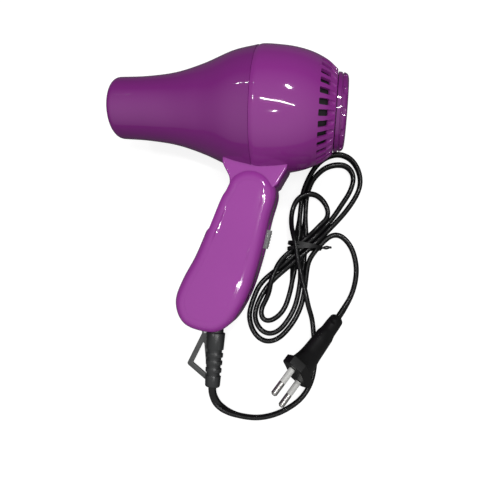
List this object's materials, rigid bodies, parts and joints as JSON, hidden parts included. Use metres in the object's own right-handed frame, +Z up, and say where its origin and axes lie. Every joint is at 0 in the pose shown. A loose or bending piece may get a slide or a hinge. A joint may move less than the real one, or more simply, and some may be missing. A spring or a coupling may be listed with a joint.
{
  "type": "travel hair dryer",
  "caption": "Travel hair dryer with a folding handle, lying on its side, with its flat cord folded into a tied hank and its two-pin plug.",
  "frame": {"origin": "on the table, under the middle of the dryer's box without its free cord", "axes": "+Z up; +X along the barrel from the outlet to the inlet; +Y from the handle's end towards the barrel"},
  "size_m": [0.1693, 0.2376, 0.08],
  "materials": {
    "deep_purple_gloss": "moulded, high gloss",
    "purple_gloss": "moulded, high gloss",
    "light_purple_gloss": "moulded, high gloss",
    "black_vinyl": "satin vinyl",
    "black_plastic": "satin",
    "grey_nylon": "satin",
    "loop_nylon": "satin",
    "white_plastic": "satin",
    "cream_nylon": "matte",
    "nickel": "nickel plate",
    "steel": "zinc plated",
    "heating_wire": "oxidised",
    "mica": "pressed mica sheet",
    "copper": "bare"
  },
  "bodies": {
    "handle": {"handle_shell_near": "light_purple_gloss", "handle_shell_far": "light_purple_gloss", "switch_body": "black_plastic", "switch_lug_a": "copper", "switch_lug_b": "copper", "switch_lug_c": "copper", "pivot_pin": "steel", "detent_spring": "steel", "handle_screw_upper": "steel", "handle_screw_lower": "steel", "strain_relief": "black_vinyl", "cord_tail": "black_vinyl", "cord_clamp": "cream_nylon", "lead_live": "copper", "lead_neutral": "copper", "loop_pin": "steel", "cord_first_run": "black_vinyl", "cord_hank": "black_vinyl", "twist_tie": "black_plastic", "cord_last_run": "black_vinyl", "plug_body": "black_plastic", "plug_pin_upper": "nickel", "plug_pin_lower": "nickel", "pin_sleeve_upper": "white_plastic", "pin_sleeve_lower": "white_plastic"},
    "head": {"barrel_shell": "deep_purple_gloss", "body_shell": "purple_gloss", "rear_cap": "deep_purple_gloss", "neck_bracket": "light_purple_gloss", "fan_duct": "cream_nylon", "motor_mount": "cream_nylon", "motor_can": "steel", "motor_screw_upper": "steel", "motor_screw_lower": "steel", "motor_end_cap": "black_plastic", "heat_shield": "mica", "heater_board_upright": "mica", "heater_board_level": "mica", "heater_coil": "heating_wire", "thermostat": "steel", "thermal_fuse": "cream_nylon", "rectifier_board": "black_plastic", "outlet_grille": "deep_purple_gloss"},
    "rotor": {"motor_shaft": "copper", "fan_impeller": "cream_nylon"},
    "slider": {"switch_slider": "grey_nylon"},
    "loop": {"hanging_loop": "loop_nylon"}
  },
  "joints": [
    {"name": "head_fold", "type": "hinge", "parent": "handle", "child": "head", "pos_m": [0.0205, 0.01488, 0.03045], "axis": [0, -0.1721, 0.9851], "range_deg": [0, 72]},
    {"name": "fan_spin", "type": "hinge", "parent": "head", "child": "rotor", "pos_m": [0.0205, 0.06951, 0.03999], "axis": [1, 0, 0], "continuous": true},
    {"name": "slider_slide", "type": "slide", "parent": "handle", "child": "slider", "axis": [0.1769, 0.9695, 0.1694], "range_m": [-0.0045, 0.0045]},
    {"name": "loop_swing", "type": "hinge", "parent": "handle", "child": "loop", "pos_m": [-0.00569, -0.07349, 0.00902], "axis": [0, -0.1721, 0.9851], "range_deg": [-35, 35]}
  ]
}
